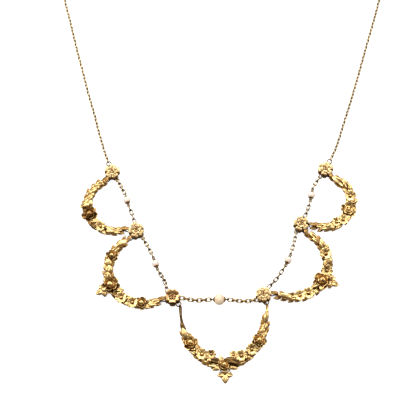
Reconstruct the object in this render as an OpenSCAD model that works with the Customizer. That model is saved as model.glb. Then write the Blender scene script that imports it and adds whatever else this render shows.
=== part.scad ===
// Garland necklace of yellow gold with five pearls, lying flat on a table.
// X is across the wearer, Y runs from the lowest drop to the clasp, Z is up from the table.

/* [Rosettes] */
// Diameter of a rosette over its outer petals
rosette_d = 4.6; // [4.4:0.1:4.8]
// Height of a rosette from the table to its centre bead
rosette_h = 2.4; // [2.3:0.1:2.7]
// Number of petals in each layer of a rosette
rosette_petals = 6; // [5:1:8]
// Diameter of the round box behind the petals
rosette_base_d = 3; // [2.8:0.1:3]

/* [Rings and links] */
// Height of the rings, eyes and links above the table
ring_z = 0.7; // [0.7:0.02:0.74]
// Wire of a soldered eye
eye_wire = 0.28; // [0.24:0.01:0.28]
// Diameter of a soldered eye at the middle of its wire
eye_d = 0.84; // [0.84:0.01:0.9]
// Wire of a jump ring
jump_wire = 0.32; // [0.28:0.01:0.32]
// Diameter of a jump ring at the middle of its wire
jump_d = 1.44; // [1.44:0.01:1.5]
// Wire of an oval link
link_wire = 0.28; // [0.24:0.01:0.28]
// Length of an oval link outside
link_len = 2.14; // [2.1:0.01:2.2]
// Width of an oval link outside
link_w = 1.36; // [1.3:0.01:1.36]

/* [Pearls] */
// Radius of the four small pearls
pearl_r = 1.1; // [1:0.05:1.2]
// Radius of the middle pearl
big_pearl_r = 1.6; // [1.5:0.05:1.7]
// Diameter of the hole through a pearl
pearl_bore_d = 0.6; // [0.6:0.05:0.8]
// Diameter of the pin through a pearl
pin_d = 0.36; // [0.3:0.02:0.38]

/* [Garlands] */
// Half the width between the end eyes of an upper garland
upper_half_w = 8.3; // [8.2:0.05:8.35]
// Depth of an upper garland
upper_drop = 8.4; // [8:0.1:8.8]
// Half the width between the end eyes of a middle garland
middle_half_w = 10.6; // [10.5:0.05:10.65]
// Depth of a middle garland
middle_drop = 10.8; // [10.4:0.1:11.2]
// Half the width between the end eyes of the centre garland
centre_half_w = 12.7; // [12.6:0.05:12.75]
// Depth of the centre garland
centre_drop = 17.8; // [17.4:0.1:18]
// Height of the flat curved spine that carries the leaves
spine_h = 0.85; // [0.7:0.05:1]

/* [Back chain and clasp] */
// Width over the links of the back chain
chain_d = 0.94; // [0.9:0.02:0.96]
// Half the width of the loop at its widest
loop_half_w = 52; // [51.5:0.5:52.5]
// Distance of the clasp above the widest place of the loop
loop_rise = 49; // [48:0.5:50]
// Length of the clasp's barrel
clasp_len = 7; // [6.6:0.1:7]
// Radius of the clasp's barrel
clasp_r = 0.95; // [0.9:0.05:1]

/* [Hidden] */
GOLD = [0.86, 0.66, 0.33];
GOLD_MATTE = [0.88, 0.72, 0.42];
GOLD_CHAIN = [0.83, 0.68, 0.40];
PEARL = [0.95, 0.90, 0.84];
SMOOTH = 48;

// Centres of the rosettes, from the left end of the front to the right
rosette_at = [[-33.2, -29.7], [-25.6, -48.7], [-14.7, -69.5], [11.9, -68.7], [23.4, -46.6], [31.2, -28.8]];

// Garlands: middle of the two end eyes (x, y), turn, half width, drop, kind, rosettes at the -X and +X ends
garlands = [
    [-32.0, -40.7, -69, upper_half_w, upper_drop, "upper", 0, 1],
    [-22.9, -61.2, -62, middle_half_w, middle_drop, "middle", 1, 2],
    [0.2, -72.2, 1, centre_half_w, centre_drop, "centre", 2, 3],
    [20.1, -59.1, 63, middle_half_w, middle_drop, "middle", 3, 4],
    [30.1, -39.4, 69, upper_half_w, upper_drop, "upper", 4, 5]
];
garland_names = ["upper_left", "middle_left", "centre", "middle_right", "upper_right"];

// Pearls, one between each two rosettes: x, y, turn of the pin, radius
pearls = [
    [-28.6, -39.2, -74, pearl_r],
    [-19.8, -59.4, -71, pearl_r],
    [-1.0, -70.7, 0, big_pearl_r],
    [19.3, -58.3, 66, pearl_r],
    [26.7, -37.6, 79, pearl_r]
];

// The chain on each side of a pearl: bearing of its lug on the rosette, and its bend (x, y);
// the first column is the side before the pearl, the second the side after it
chain_sides = [
    [[-59, -30.3, -35.1], [101, -27.2, -43.1]],
    [[-48, -21.7, -54.8], [143, -16.8, -65.2]],
    [[-8, -8.0, -70.9], [-122, 6.2, -71.2]],
    [[57, 15.6, -64.5], [-130, 21.1, -53.2]],
    [[61, 25.6, -42.0], [-120, 27.7, -34.2]]
];

// Pieces of an upper garland, half of it: kind, place along (degrees), out, turn, size, lift
upper_motifs = [
    ["leaf", 9, -0.1, 14, 2.6, 0.45],
    ["leaf", 20, 0.3, 22, 2.7, 0.6],
    ["leaf", 24, -0.5, -26, 2.3, 0.5],
    ["leaf", 36, 0.5, 30, 2.6, 0.6],
    ["leaf", 38, -0.5, -30, 2.3, 0.55],
    ["flower", 50, 0.0, 0, 1.35, 0.8],
    ["leaf", 58, -0.7, -34, 2.1, 0.55],
    ["leaf", 56, 0.8, 50, 2.6, 0.6],
    ["berry", 68, -1.2, 0, 0.5, 0.9],
    ["leaf", 84, 0.4, 150, 3.3, 0.5],
    ["leaf", 86, -0.5, 200, 3.0, 0.5]
];

// Pieces of a middle garland, half of it
middle_motifs = [
    ["leaf", 7, -0.1, 12, 3.0, 0.45],
    ["leaf", 17, 0.3, 20, 3.0, 0.6],
    ["leaf", 21, -0.4, -26, 2.5, 0.5],
    ["husk", 27, 0.0, 4, 2.6, 0.6],
    ["rose", 42, 0.05, 14, 1.6, 0.44],
    ["leaf", 52, 1.0, 40, 2.2, 0.55],
    ["leaf", 50, -0.8, -36, 2.1, 0.5],
    ["flower", 59, 0.1, 20, 1.5, 0.8],
    ["berry", 60, -1.4, 0, 0.5, 0.8],
    ["leaf", 69, 1.1, 44, 2.3, 0.55],
    ["flower", 70, -0.6, 5, 1.15, 0.97],
    ["leaf", 84, 0.5, 152, 3.7, 0.54],
    ["leaf", 86, -0.6, 198, 3.4, 0.5]
];

// Pieces of the centre garland, half of it
centre_motifs = [
    ["leaf", 9, 0.1, 18, 2.6, 0.5],
    ["leaf", 10, -0.2, -22, 2.4, 0.45],
    ["leaf", 18, 0.3, 16, 2.6, 0.6],
    ["husk", 21.5, 0.0, 4, 3.6, 0.6],
    ["leaf", 33, 0.9, 22, 2.4, 0.55],
    ["rose", 41, 0.0, 0, 1.75, 0.5],
    ["leaf", 48.5, 0.6, 42, 2.9, 0.57],
    ["leaf", 46, -0.9, -34, 2.2, 0.5],
    ["flower", 54.5, -0.2, 0, 1.9, 0.8],
    ["leaf", 58, 1.4, 46, 2.4, 0.6],
    ["berry", 62, 1.4, 0, 0.55, 0.8],
    ["berry", 65, 1.3, 0, 0.55, 1.0],
    ["flower", 65, -1.0, 30, 1.5, 0.9],
    ["berry", 69, 1.45, 0, 0.55, 0.7],
    ["leaf", 68, 0.6, 14, 2.3, 0.8],
    ["flower", 73.5, -2.3, 10, 1.15, 0.8],
    ["leaf", 74, 1.5, 60, 2.4, 0.6],
    ["leaf", 87, -0.6, 188, 4.0, 0.8],
    ["leaf", 87, 1.0, 168, 3.4, 0.6],
    ["leaf", 84, -1.7, 204, 2.6, 0.5]
];

// Left half of the back chain by hand, from the rosette up: x, y, z
left_route = [
    [-34.7, -26.3, 0.7], [-35.8, -22.9, 0.5], [-36.8, -19.4, 0.5], [-37.9, -15.6, 0.5], [-38.9, -11.4, 0.5],
    [-40.1, -7.4, 0.5], [-41.3, -3.3, 0.5], [-42.3, 0.7, 0.5], [-43.3, 4.6, 0.5], [-44.4, 8.7, 0.5],
    [-45.5, 13.0, 0.5], [-46.6, 17.4, 0.5], [-47.8, 22.4, 0.5], [-49.4, 28.4, 0.5], [-50.6, 33.6, 0.5],
    [-51.6, 39.4, 0.5]
];
// Right half of the back chain by hand
right_route = [
    [33.0, -25.6, 0.7], [34.5, -22.2, 0.5], [35.8, -18.4, 0.5], [37.2, -13.9, 0.5], [38.7, -9.2, 0.5],
    [40.1, -4.8, 0.5], [41.6, 0.3, 0.5], [42.9, 4.7, 0.5], [44.2, 9.3, 0.5], [45.5, 13.8, 0.5],
    [46.8, 18.2, 0.5], [48.2, 23.0, 0.5], [49.8, 28.8, 0.5], [50.9, 34.0, 0.5], [51.7, 39.6, 0.5]
];
loop_y = 46;
loop_steps = 17;
chain_z = 0.5;
end_z = 0.7;

// The eyes, and how far apart two linked eyes lie
eye_r = eye_d / 2;
eye_out = eye_r + eye_wire / 2;
jump_r = jump_d / 2;
eye_gap = jump_d;
// Distance of a lug from the middle of its rosette, and its stub's wire
lug_r = 1.95;
stub_d = 0.36;
// How far a stem runs into the wire of its eye
eye_bite = 0.06;
// Distance between the tube of a back chain and the middle of the ring's far wire
tube_gap = 0.35;

// A garland's spine: its half width at the ends, and where it starts and stops (degrees)
spine_end_r = 0.36;
spine_first = 7;
spine_last = 86;

// Oval links: length between the middles of the end wires, and the longest pitch that stays loose
link_mean = link_len - link_wire;
link_bow = (link_w - link_wire) / 2;
link_pitch_max = link_mean - link_wire - 0.12;

// Pearl pins
pin_cap_t = 0.15;
pin_cap_r = 0.42;
pin_cap_gap = 0.12;
function pin_reach(r) = r + pin_cap_gap + pin_cap_t + eye_out - eye_bite;

clasp_y = loop_y + loop_rise;
clasp_eye_x = clasp_len / 2 + eye_out - eye_bite;

function flat(p) = [p[0], p[1]];
function unit(v) = v / norm(v);
function heading(v) = atan2(v[1], v[0]);
function polar(r, a) = [r * cos(a), r * sin(a)];

// End eye of garland g at its -X end (side -1) or +X end (side 1), and the rosette that it hangs from
function garland_eye(g, side) = [g[0], g[1]] + side * polar(g[3], g[2]);
function garland_rosette(g, side) = rosette_at[side < 0 ? g[6] : g[7]];
function toward(from, to) = unit(to - from);
// Eye on the rosette that faces it, one jump ring away
function garland_lug(g, side) =
    garland_eye(g, side) + eye_gap * toward(garland_eye(g, side), garland_rosette(g, side));
function lug_between(from, to, r) = from + r * toward(from, to);

// Pearl chain c: the lug and the bend on one side, the eye of the pearl's pin, and the path through them
function chain_side(c, side) = chain_sides[c][side < 0 ? 0 : 1];
function chain_bend(c, side) = [chain_side(c, side)[1], chain_side(c, side)[2]];
function chain_lug(c, side) = rosette_at[side < 0 ? c : c + 1] + polar(lug_r, chain_side(c, side)[0]);
function chain_eye(c, side) = flat(pearls[c]) + side * polar(pin_reach(pearls[c][3]), pearls[c][2]);
function chain_path(c, side) =
    let (z = pearls[c][3], lug = chain_lug(c, side), eye = chain_eye(c, side), bend = chain_bend(c, side),
         share = norm(bend - lug) / (norm(bend - lug) + norm(eye - bend)))
    [[lug[0], lug[1], ring_z], [bend[0], bend[1], ring_z + share * (z - ring_z)], [eye[0], eye[1], z]];

// A point at distance s along a path of three points
function walk(path, s) =
    let (first = norm(path[1] - path[0]))
    s < first ? path[0] + s * unit(path[1] - path[0]) : path[1] + (s - first) * unit(path[2] - path[1]);
function path_len(path) = norm(path[1] - path[0]) + norm(path[2] - path[1]);

// A point of a garland's centreline, half an ellipse, in the garland's own plane
function spot(g, along, out) =
    let (normal = unit([g[4] * cos(along), -g[3] * sin(along)]))
    [g[3] * cos(along), -g[4] * sin(along)] + out * normal;
function course(g, along) = atan2(-g[4] * cos(along), -g[3] * sin(along));

module torus(d, wire) {
    rotate_extrude($fn = SMOOTH) translate([d / 2, 0]) circle(d = wire, $fn = SMOOTH);
}

// An eye standing upright at p, its plane turned to face along angle a
module eye(p, a) {
    translate([p[0], p[1], ring_z]) rotate(a) rotate([90, 0, 0]) torus(eye_d, eye_wire);
}

// A small lug: an eye at p that faces along angle a, and the stub that joins it to the box at c
module lug(c, p, a) {
    stub = norm(p - c) - eye_r;
    eye(p, a);
    translate([c[0], c[1], ring_z]) rotate([0, 90, heading(p - c)]) cylinder(d = stub_d, h = stub, $fn = SMOOTH);
}

// Lugs of rosette i, each with the angle that it faces
function chain_lug_row(c, side) =
    let (p = chain_lug(c, side)) [p, heading(chain_bend(c, side) - p)];
function back_lug_row(i, start) =
    [lug_between(rosette_at[i], start, lug_r), heading(start - rosette_at[i])];
function rosette_lugs(i) = concat(
    [for (g = garlands) for (side = [-1, 1]) if (garland_rosette(g, side) == rosette_at[i])
        [garland_lug(g, side), heading(garland_lug(g, side) - rosette_at[i])]],
    i < 5 ? [chain_lug_row(i, -1)] : [],
    i > 0 ? [chain_lug_row(i - 1, 1)] : [],
    i == 0 ? [back_lug_row(0, flat(left_route[0]))] : [],
    i == 5 ? [back_lug_row(5, flat(right_route[0]))] : []
);

module petal_ring(count, at_r, petal_r, z, turn) {
    for (k = [0:count - 1]) rotate(turn + k * 360 / count) translate([at_r, 0, z]) intersection() {
        sphere(petal_r, $fn = SMOOTH);
        cylinder(r = 2 * petal_r, h = 2 * petal_r, $fn = SMOOTH);
    }
}

module rosette(i) {
    c = rosette_at[i];
    petal_z = 1.05;
    petal_r = 0.38 * rosette_d / 2;
    inner_at = 0.85;
    inner_r = 0.62;
    bead_r = 0.5;
    turn = 20 * i;
    color(GOLD_MATTE) {
        translate([c[0], c[1], 0]) {
            cylinder(d = rosette_base_d, h = petal_z + 0.1, $fn = SMOOTH);
            petal_ring(rosette_petals, rosette_d / 2 - petal_r, petal_r, petal_z, turn);
            petal_ring(rosette_petals, inner_at, inner_r, petal_z + 0.35, turn + 180 / rosette_petals);
            translate([0, 0, rosette_h - bead_r]) sphere(bead_r, $fn = SMOOTH);
        }
        for (row = rosette_lugs(i)) lug(c, row[0], row[1]);
    }
}

// A pointed leaf along +X with a ridge down its middle
module leaf(len) {
    edge_h = 0.26;
    ridge_h = 0.62;
    rim = [[0, 0], [0.42 * len, -0.26 * len], [len, 0], [0.42 * len, 0.26 * len]];
    points = concat(
        [for (p = rim) [p[0], p[1], 0]],
        [for (p = rim) [p[0], p[1], edge_h]],
        [[0.1 * len, 0, ridge_h], [0.62 * len, 0, ridge_h]]
    );
    walls = [for (k = [0:3]) let (m = (k + 1) % 4) [k, 4 + k, 4 + m, m]];
    top = [[4, 8, 5], [8, 9, 5], [5, 9, 6], [6, 9, 7], [9, 8, 7], [7, 8, 4]];
    polyhedron(points, concat([[0, 1, 2, 3]], walls, top));
}

// A bell-shaped husk along +X with a pointed lip
module husk(len) {
    hull() {
        translate([0.1 * len, 0, 0.1]) cylinder(r = 0.12 * len, h = 0.5, $fn = 5);
        translate([0.52 * len, 0, 0]) cylinder(r1 = 0.34 * len, r2 = 0.22 * len, h = 1.1, $fn = 7);
    }
    translate([0.56 * len, 0.06 * len, 0.25]) leaf(0.5 * len);
}

module bead(r) {
    sphere(r, $fn = 6);
}

// Outline of a ring of petals: share of a petal's angle, and share of the full radius
broad_petal = [[0, 0.62], [0.3, 1], [0.72, 0.97]];
pointed_petal = [[0, 0.62], [0.5, 1.04]];
// Rings from the root up: height and share of the outline
cup_rings = [[0, 0.5], [0.55, 1], [1, 0.74]];

// A closed cup of petals round the Z axis, hollow in the middle
module petal_cup(petals, r, h, outline) {
    rim = [for (k = [0:petals - 1]) for (row = outline)
        let (a = (k + row[0]) * 360 / petals) [r * row[1] * cos(a), r * row[1] * sin(a)]];
    n = len(rim);
    points = concat(
        [for (ring = cup_rings) for (p = rim) [ring[1] * p[0], ring[1] * p[1], ring[0] * h]],
        [[0, 0, 0.6 * h]]
    );
    faces = concat(
        [[for (k = [0:n - 1]) k]],
        [for (ring = [0:len(cup_rings) - 2]) for (k = [0:n - 1]) let (m = (k + 1) % n, base = ring * n)
            each [[base + k, base + n + k, base + m], [base + m, base + n + k, base + n + m]]],
        [for (k = [0:n - 1]) let (m = (k + 1) % n, base = (len(cup_rings) - 1) * n)
            [base + k, len(points) - 1, base + m]]
    );
    polyhedron(points, faces);
}

// A five-petalled flower with a bead in the middle
module flower(r) {
    rotate(7) petal_cup(5, r, 0.6, pointed_petal);
    translate([0.03, 0.02, 0.54]) rotate(33) bead(0.27 * r);
}

// A full rose: a cup of three petals in a cup of five
module rose(r) {
    rotate(11) petal_cup(5, r, 1.35, broad_petal);
    translate([0.03, 0.05, 0.74]) rotate(27) petal_cup(3, 0.62 * r, 1.05, pointed_petal);
}

module motif(kind, size) {
    if (kind == "leaf") rotate([0, -11, 0]) leaf(size);
    if (kind == "husk") husk(size);
    if (kind == "flower") flower(size);
    if (kind == "rose") rose(size);
    if (kind == "berry") bead(size);
}

// The flat strip under the leaves, widening from the end eye to the middle
module spine(g, steps, mid_r) {
    function disc_r(along) = spine_end_r + (mid_r - spine_end_r) * sin(along);
    stops = [for (k = [0:steps]) spine_first + k * (spine_last - spine_first) / steps];
    for (k = [0:steps - 1]) hull() {
        for (j = [k, k + 1]) {
            p = spot(g, stops[j], 0);
            translate([p[0], p[1], 0]) cylinder(r = disc_r(stops[j]), h = spine_h, $fn = 6);
        }
    }
}

module half_garland(g, motifs, steps, mid_r) {
    spine(g, steps, mid_r);
    for (m = motifs) {
        p = spot(g, m[1], m[2]);
        translate([p[0], p[1], m[5]]) rotate(course(g, m[1]) + m[3]) motif(m[0], m[4]);
    }
}

// A point of garland g's own plane, or its mirror image for side -1, on the table
function on_table(g, p, side) =
    let (x = side * p[0], y = p[1])
    [g[0] + x * cos(g[2]) - y * sin(g[2]), g[1] + x * sin(g[2]) + y * cos(g[2])];

// Eye and stem at one end, turned to the rosette
module garland_end(g, side) {
    e = garland_eye(g, side);
    a = heading(garland_rosette(g, side) - e);
    stem = on_table(g, spot(g, spine_first + 1, 0), side);
    stem_back = eye_out + 0.16;
    translate([e[0], e[1], ring_z]) rotate(a) rotate([90, 0, 0]) rotate_extrude($fn = 10)
        translate([eye_r, 0]) circle(d = eye_wire, $fn = 5);
    hull() {
        translate([e[0], e[1], 0.35]) rotate(a) translate([-stem_back, 0, 0]) cylinder(r = 0.26, h = 0.6, $fn = 6);
        translate([stem[0], stem[1], 0]) cylinder(r = 0.34, h = spine_h, $fn = 6);
    }
}

// The trefoil below the middle: a lobe on each side and a long pointed one, on a short neck
module trefoil(drop, reach) {
    lobe = 0.5 * reach;
    top = drop + 0.36 * reach;
    for (a = [-146, -34]) translate([0, -top, 0.35]) rotate(a) scale([1, 1.5, 1.3]) leaf(lobe);
    hull() {
        translate([0, -drop, 0]) cylinder(r = 0.8, h = 0.9, $fn = 6);
        translate([0, -top - 0.4, 0]) cylinder(r = 0.4, h = 0.9, $fn = 6);
    }
    translate([0, -top, 0.3]) rotate(-90) scale([1, 1.2, 1.6]) leaf(0.64 * reach);
}

module garland(i) {
    g = garlands[i];
    kind = g[5];
    color(GOLD) {
        translate([g[0], g[1], 0]) rotate(g[2]) {
            for (side = [0, 1]) mirror([side, 0, 0]) {
                if (kind == "upper") half_garland(g, upper_motifs, 6, 0.95);
                if (kind == "middle") half_garland(g, middle_motifs, 7, 1.1);
                if (kind == "centre") half_garland(g, centre_motifs, 8, 1.5);
            }
            translate([0, -g[4], 0.5]) rose(kind == "middle" ? 2.05 : 1.95);
            if (kind == "middle") trefoil(g[4] + 1.2, 4.2);
            if (kind == "centre") trefoil(g[4] + 1.4, 4.6);
        }
        for (side = [-1, 1]) garland_end(g, side);
    }
}

module jump_ring(p) {
    color(GOLD) translate([p[0], p[1], ring_z]) torus(jump_d, jump_wire);
}

// Jump ring k links one end of garland floor(k / 2) to its rosette
module swag_ring(k) {
    g = garlands[floor(k / 2)];
    side = k % 2 == 0 ? -1 : 1;
    jump_ring((garland_eye(g, side) + garland_lug(g, side)) / 2);
}

// Stands children in the middle of pearl c, their Z axis along its drill hole
module along_pin(c) {
    p = pearls[c];
    translate([p[0], p[1], p[3]]) rotate([0, 90, p[2]]) children();
}

module pearl(c) {
    r = pearls[c][3];
    color(PEARL) difference() {
        translate([pearls[c][0], pearls[c][1], r]) rotate(30) sphere(r, $fn = 2 * SMOOTH);
        along_pin(c) cylinder(d = pearl_bore_d, h = 4 * r, center = true, $fn = SMOOTH);
    }
}

// Number of links on one side of pearl c
function link_count(c, side) =
    1 + ceil((path_len(chain_path(c, side)) - link_mean) / link_pitch_max);

module pearl_pin(c) {
    r = pearls[c][3];
    reach = pin_reach(r);
    color(GOLD) {
        along_pin(c) {
            cylinder(d = pin_d, h = 2 * (reach - eye_r), center = true, $fn = SMOOTH);
            for (side = [-1, 1]) translate([0, 0, side * (r + pin_cap_gap + pin_cap_t / 2)])
                cylinder(r = pin_cap_r, h = pin_cap_t, center = true, $fn = SMOOTH);
        }
        for (side = [-1, 1]) pin_eye(c, side);
    }
}

// The eye stands upright behind a flat last link and lies flat behind an upright one
module pin_eye(c, side) {
    p = chain_eye(c, side);
    upright = link_count(c, side) % 2 == 1;
    translate([p[0], p[1], pearls[c][3]]) rotate(pearls[c][2]) rotate([upright ? 90 : 0, 0, 0])
        torus(eye_d, eye_wire);
}

// An oval link along X, flat in the XY plane
module oval_link() {
    straight = link_mean - 2 * link_bow;
    for (side = [-1, 1]) {
        translate([side * straight / 2, 0, 0]) rotate(-90 * side) rotate_extrude(angle = 180, $fn = SMOOTH)
            translate([link_bow, 0]) circle(d = link_wire, $fn = SMOOTH);
        translate([0, side * link_bow, 0]) rotate([0, 90, 0])
            cylinder(d = link_wire, h = straight, center = true, $fn = SMOOTH);
    }
}

// Links along one side of pearl c, each quarter-turned from the one before
module link_run(c, side) {
    path = chain_path(c, side);
    count = link_count(c, side);
    pitch = (path_len(path) - link_mean) / (count - 1);
    for (k = [0:count - 1]) {
        tail = walk(path, k * pitch);
        head = walk(path, k * pitch + link_mean);
        way = head - tail;
        translate((head + tail) / 2)
            rotate([0, -asin(way[2] / norm(way)), heading(way)]) rotate([90 * (k % 2), 0, 0]) oval_link();
    }
}

module pearl_chain(c) {
    color(GOLD_CHAIN) for (side = [-1, 1]) link_run(c, side);
}

// The hidden part of each half follows a quarter of an ellipse to the clasp
function loop_arc(side) =
    let (last = acos((clasp_eye_x + jump_d + tube_gap) / loop_half_w))
    [for (k = [0:loop_steps]) let (a = k * last / loop_steps)
        [side * loop_half_w * cos(a), loop_y + loop_rise * sin(a), k == loop_steps ? end_z : chain_z]];
function full_route(side) = concat(side < 0 ? left_route : right_route, loop_arc(side));

// A tube swept along points, closed at both ends
module tube(route, d, sides) {
    last = len(route) - 1;
    function way(k) = unit(route[min(k + 1, last)] - route[max(k - 1, 0)]);
    function across(k) = unit([-way(k)[1], way(k)[0], 0]);
    rings = [for (k = [0:last]) for (s = [0:sides - 1])
        let (a = (s + 0.5) * 360 / sides, x = across(k), y = cross(way(k), across(k)))
        route[k] + d / 2 * (cos(a) * x + sin(a) * y)];
    walls = [for (k = [0:last - 1]) for (s = [0:sides - 1])
        let (t = (s + 1) % sides) [k * sides + s, k * sides + t, (k + 1) * sides + t, (k + 1) * sides + s]];
    caps = [[for (s = [sides - 1:-1:0]) s], [for (s = [0:sides - 1]) last * sides + s]];
    polyhedron(rings, concat(walls, caps));
}

module back_chain(side) {
    color(GOLD_CHAIN) tube(full_route(side), chain_d, 8);
}

module chain_ring(side) {
    c = side < 0 ? rosette_at[0] : rosette_at[5];
    start = flat(side < 0 ? left_route[0] : right_route[0]);
    jump_ring(lug_between(c, start, lug_r + jump_r));
}

module clasp_ring(side) {
    jump_ring([side * (clasp_eye_x + jump_r), clasp_y]);
}

// A plain barrel with a round end and an eye on each side
module clasp() {
    knob_r = 0.62;
    knob_in = 0.4;
    color(GOLD) {
        translate([0, clasp_y, clasp_r]) rotate([0, 90, 0])
            cylinder(r = clasp_r, h = clasp_len - 2 * knob_in, center = true, $fn = SMOOTH);
        for (side = [-1, 1]) {
            translate([side * (clasp_len / 2 - knob_in), clasp_y, clasp_r]) sphere(knob_r, $fn = SMOOTH);
            eye([side * clasp_eye_x, clasp_y], 0);
        }
        translate([0, clasp_y, ring_z]) rotate([0, 90, 0])
            cylinder(d = stub_d, h = 2 * (clasp_eye_x - eye_r), center = true, $fn = SMOOTH);
    }
}

for (i = [1:6]) rosette(i - 1);
for (i = [0:4]) garland(i);
for (i = [1:10]) swag_ring(i - 1);
for (i = [1:5]) pearl(i - 1);
for (i = [1:5]) pearl_pin(i - 1);
for (i = [1:5]) pearl_chain(i - 1);
chain_ring(-1);  // chain_ring_left
chain_ring(1);  // chain_ring_right
back_chain(-1);  // back_chain_left
back_chain(1);  // back_chain_right
clasp_ring(-1);  // clasp_ring_left
clasp_ring(1);  // clasp_ring_right
clasp();
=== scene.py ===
# Garland necklace of yellow gold with five pearls, lying on a pale table.
import math

import bmesh
import bpy
from mathutils import Matrix, Vector


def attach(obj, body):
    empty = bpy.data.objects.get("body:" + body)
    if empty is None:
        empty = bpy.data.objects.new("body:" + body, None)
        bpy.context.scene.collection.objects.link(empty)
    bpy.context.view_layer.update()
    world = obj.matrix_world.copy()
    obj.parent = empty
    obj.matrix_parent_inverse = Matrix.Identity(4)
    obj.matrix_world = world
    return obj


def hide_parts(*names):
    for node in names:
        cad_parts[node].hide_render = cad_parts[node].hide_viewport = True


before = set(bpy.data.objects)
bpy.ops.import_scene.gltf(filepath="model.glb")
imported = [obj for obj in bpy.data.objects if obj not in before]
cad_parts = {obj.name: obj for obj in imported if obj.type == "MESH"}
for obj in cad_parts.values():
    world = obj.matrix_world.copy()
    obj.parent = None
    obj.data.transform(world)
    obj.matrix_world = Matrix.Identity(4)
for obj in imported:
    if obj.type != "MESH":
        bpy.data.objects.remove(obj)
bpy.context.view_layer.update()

# Sizes and places are in millimetres and angles in degrees, apart from the studio's. A piece is shaped in
# millimetres and scaled to metres last.
MM = 0.001
# Points nearer to a line than this lie on it
TINY = 0.001

# The picture's view: the point on the table that it looks at, the distance, the height angle, the lens
# and the sensor
VIEW_TARGET = (-5.2, -40.2, 0.0)
VIEW_DISTANCE = 461.25
VIEW_ELEVATION = 68
LENS = 135
SENSOR = 36

# Centres of the rosettes from the left end of the front to the right
ROSETTES = [(-33.2, -29.7), (-25.6, -48.7), (-14.7, -69.5), (11.9, -68.7), (23.4, -46.6), (31.2, -28.8)]
# For each rosette: outer petals, their breadth, turn, tilt to the front and cupping, and the size of the
# inner petals
ROSETTE_PETALS = [5, 5, 5, 8, 5, 6]
ROSETTE_BREADTH = [1.0, 1.05, 1.05, 0.68, 1.0, 0.86]
ROSETTE_TURNS = [14, 40, 54, 8, 30, 12]
ROSETTE_TILTS = [0, 3, 4, 0, 3, -2]
ROSETTE_CUPS = [0, 4, 24, 0, 5, 2]
ROSETTE_HEARTS = [1.0, 1.0, 0.6, 1.0, 1.0, 1.0]
# The tilted rosette whose gold is a warmer copy: painted reflection of warm surroundings in its petals
WARM_REFLECTION_ROSETTE = 2

# How far a lug's eye stands from its rosette's centre, the eyes' diameter and wire, how far a jump ring
# carries from eye to eye, and the height of the eyes
LUG_REACH = 1.95
EYE_D = 0.84
EYE_WIRE = 0.28
JUMP_D = 1.44
RING_Z = 0.7

# Garlands: middle of the two end eyes (x, y), turn, half width, drop, rosettes at the -X and +X ends
GARLANDS = {
    "garland_upper_left": (-32.0, -40.7, -69, 8.3, 8.4, 0, 1),
    "garland_middle_left": (-22.9, -61.2, -62, 10.6, 10.8, 1, 2),
    "garland_centre": (0.2, -72.2, 1, 12.7, 17.8, 2, 3),
    "garland_middle_right": (20.1, -59.1, 63, 10.6, 10.8, 3, 4),
    "garland_upper_right": (30.1, -39.4, 69, 8.3, 8.4, 4, 5),
}

# Pearls: x, y, turn of the pin, radius
PEARLS = [
    (-28.6, -39.2, -74, 1.1), (-19.8, -59.4, -71, 1.1), (-1.0, -70.7, 0, 1.6),
    (19.3, -58.3, 66, 1.1), (26.7, -37.6, 79, 1.1),
]
MIDDLE_PEARL = 2
# Where the caps of each pearl begin, as a share of its radius, at the end that the pin points to and at
# the other
CAPS = [(0.66, 0.84), (0.66, 0.84), (0.88, 0.88), (0.84, 0.66), (0.84, 0.66)]
# How far the eye of a pearl's pin lies past the pearl
PIN_REACH = 0.77

# The pearl chain before and after each pearl: bearing of its lug on the rosette, and its bend (x, y)
CHAIN_SIDES = [
    ((-59, -30.3, -35.1), (101, -27.2, -43.1)),
    ((-48, -21.7, -54.8), (143, -16.8, -65.2)),
    ((-8, -8.0, -70.9), (-122, 6.2, -71.2)),
    ((57, 15.6, -64.5), (-130, 21.1, -53.2)),
    ((61, 25.6, -42.0), (-120, 27.7, -34.2)),
]

# Halves of the back chain, from the rosette up: x, y
LEFT_ROUTE = [
    (-34.7, -26.3), (-35.8, -22.9), (-36.8, -19.4), (-37.9, -15.6), (-38.9, -11.4),
    (-40.1, -7.4), (-41.3, -3.3), (-42.3, 0.7), (-43.3, 4.6), (-44.4, 8.7),
    (-45.5, 13.0), (-46.6, 17.4), (-47.8, 22.4), (-49.4, 28.4), (-50.6, 33.6),
    (-51.6, 39.4),
]
RIGHT_ROUTE = [
    (33.0, -25.6), (34.5, -22.2), (35.8, -18.4), (37.2, -13.9), (38.7, -9.2),
    (40.1, -4.8), (41.6, 0.3), (42.9, 4.7), (44.2, 9.3), (45.5, 13.8),
    (46.8, 18.2), (48.2, 23.0), (49.8, 28.8), (50.9, 34.0), (51.7, 39.6),
]
# The rosette that each half starts at, and its route
BACK_CHAINS = {"left": (0, LEFT_ROUTE), "right": (5, RIGHT_ROUTE)}
# The half ellipse behind them: half width, the Y where it starts, its rise and its steps; the place of the
# clasp's eye, and the height of the back chain
LOOP_HALF_W = 52
LOOP_Y = 46
LOOP_RISE = 49
LOOP_STEPS = 17
CLASP_EYE_X = 4.0
LINK_Z = 0.47
# How far a back chain's first link lies inside the ring before it
RING_OVERLAP = 0.2
# The lean of the back chain's links, how far it sways, and the sway's pace in radians for each link
LINK_LEAN = 45
LEAN_SWAY = 9
SWAY_PACE = 0.47

# Links of the fine back chain, and of the oval chains beside the middle pearl and beside the others: outer
# length and width, wire, longest pitch, and faces round the link and across the wire
LINKS = {
    "fine_link": {"length": 1.91, "width": 0.98, "wire": 0.33, "pitch": 1.23, "around": 16, "across": 6},
    "middle_oval": {"length": 2.24, "width": 1.46, "wire": 0.38, "pitch": 1.46, "around": 24, "across": 10},
    "side_oval": {"length": 2.18, "width": 1.24, "wire": 0.35, "pitch": 1.46, "around": 24, "across": 10},
}

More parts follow.
